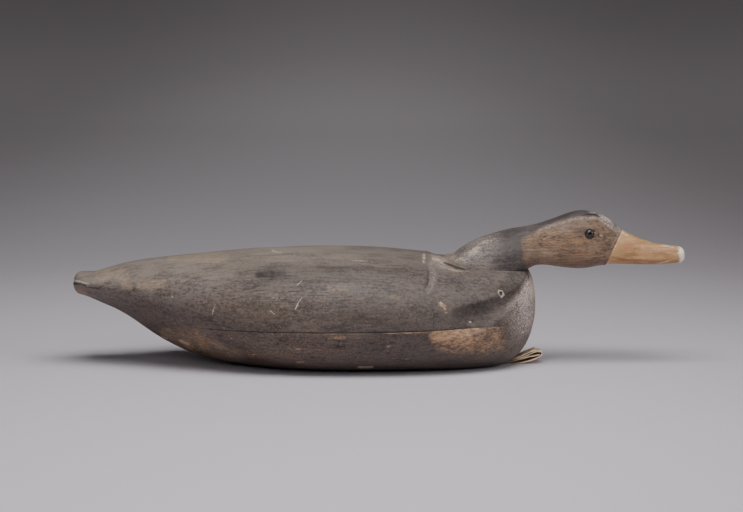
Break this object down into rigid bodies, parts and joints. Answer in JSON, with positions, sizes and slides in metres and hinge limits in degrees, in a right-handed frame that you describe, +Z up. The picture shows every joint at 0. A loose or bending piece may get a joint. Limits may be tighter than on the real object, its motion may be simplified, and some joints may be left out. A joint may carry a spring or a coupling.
{
  "type": "duck decoy",
  "caption": "Carved and painted wooden duck decoy: level-seamed flat-bottomed body, head reaching low and forward, glass eyes, leather loop under the breast.",
  "frame": {"origin": "on the ground plane, under the middle of the bounding box", "axes": "+X towards the bill, +Y towards the duck's left side, +Z up"},
  "size_m": [0.4884, 0.1578, 0.1229],
  "materials": {
    "painted_back": "old matt black-brown paint, weathered grey",
    "painted_base": "old dark brown paint, worn to the wood along the edges",
    "painted_head": "old paint, brown cheeks, grey crown and a tan bill",
    "eye_glass": "dark glossy glass",
    "leather": "dry tan leather"
  },
  "bodies": {
    "root": {"body_upper": "painted_back", "body_lower": "painted_base", "head_and_neck": "painted_head", "eye_left": "eye_glass", "eye_right": "eye_glass", "leather_line_tie": "leather"}
  },
  "joints": []
}
